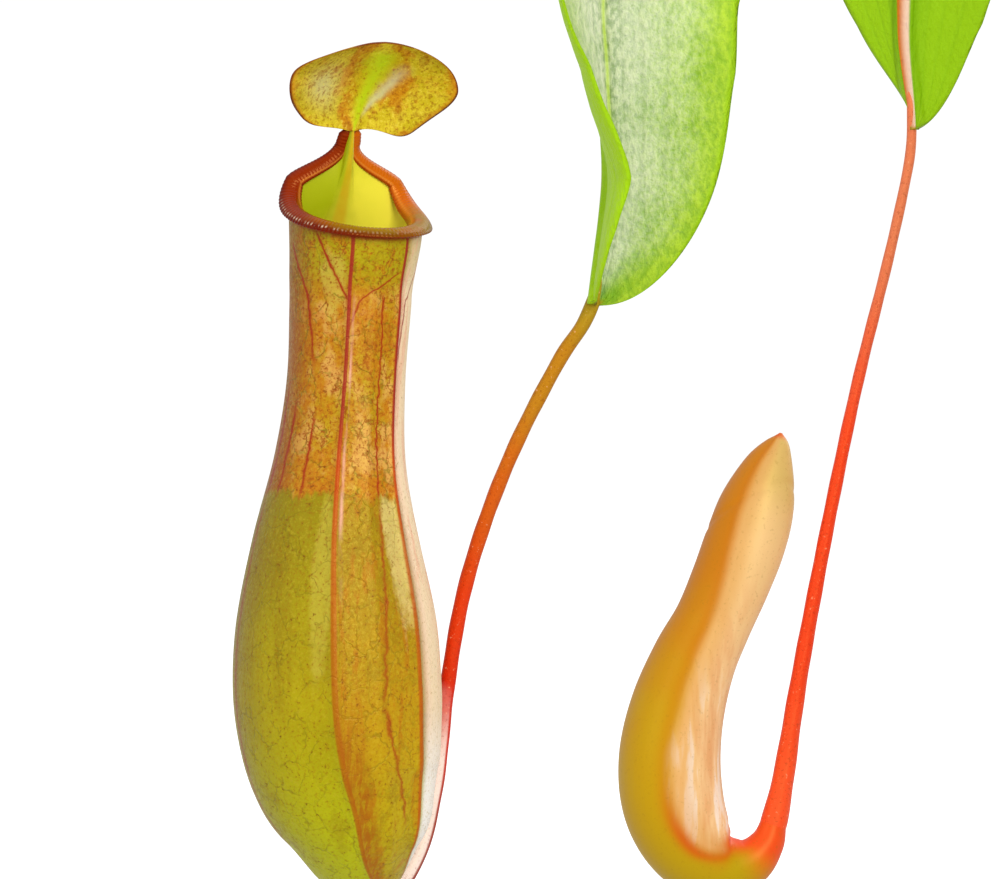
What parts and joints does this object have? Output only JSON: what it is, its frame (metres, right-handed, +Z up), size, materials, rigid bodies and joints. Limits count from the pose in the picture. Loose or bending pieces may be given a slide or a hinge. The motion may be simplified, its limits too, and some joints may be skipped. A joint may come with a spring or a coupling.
{
  "type": "potted pitcher plant",
  "caption": "Tropical pitcher plant in a round clay pot: arching leaves whose tendrils carry hanging pitchers, open ones with a rolled rim and a lid, and young ones still shut.",
  "frame": {"origin": "centre of the pot's flat underside", "axes": "+Z up along the pot's axis; -X towards the largest pitcher, -Y towards the viewer of the picture"},
  "size_m": [0.4255, 0.3574, 0.3482],
  "materials": {
    "pot": "matte unglazed terracotta with pale mineral bloom",
    "soil": "loose dark bark and peat mix",
    "stem": "smooth green stem, browner at its foot",
    "leaf": "glossy leathery green, paler below, with a raised midrib",
    "tendril": "satin, green-orange at the leaf and red below",
    "pitcher": "waxy, mottled orange-brown over yellow-green, with red ribs",
    "rim": "glossy red-brown, finely ribbed",
    "lid": "satin yellow with red-brown speckles",
    "young_pitcher": "satin mustard to orange, with a pale front"
  },
  "bodies": {
    "root": {"pot": "pot", "soil": "soil", "stem": "stem", "leaf_1": "leaf", "tendril_1": "tendril", "pitcher_1": "pitcher", "rim_1": "rim", "lid_1": "lid", "leaf_2": "leaf", "tendril_2": "tendril", "pitcher_2": "young_pitcher", "leaf_3": "leaf", "tendril_3": "tendril", "pitcher_3": "pitcher", "rim_3": "rim", "lid_3": "lid", "leaf_4": "leaf", "tendril_4": "tendril", "pitcher_4": "pitcher", "rim_4": "rim", "lid_4": "lid", "leaf_5": "leaf", "tendril_5": "tendril", "pitcher_5": "pitcher", "rim_5": "rim", "lid_5": "lid", "leaf_6": "leaf", "tendril_6": "tendril", "pitcher_6": "young_pitcher", "leaf_7": "leaf", "tendril_7": "tendril", "pitcher_7": "young_pitcher", "leaf_8": "leaf", "tendril_8": "tendril", "pitcher_8": "young_pitcher", "leaf_9": "leaf", "tendril_9": "tendril", "leaf_10": "leaf", "tendril_10": "tendril", "leaf_11": "leaf", "tendril_11": "tendril"}
  },
  "joints": []
}
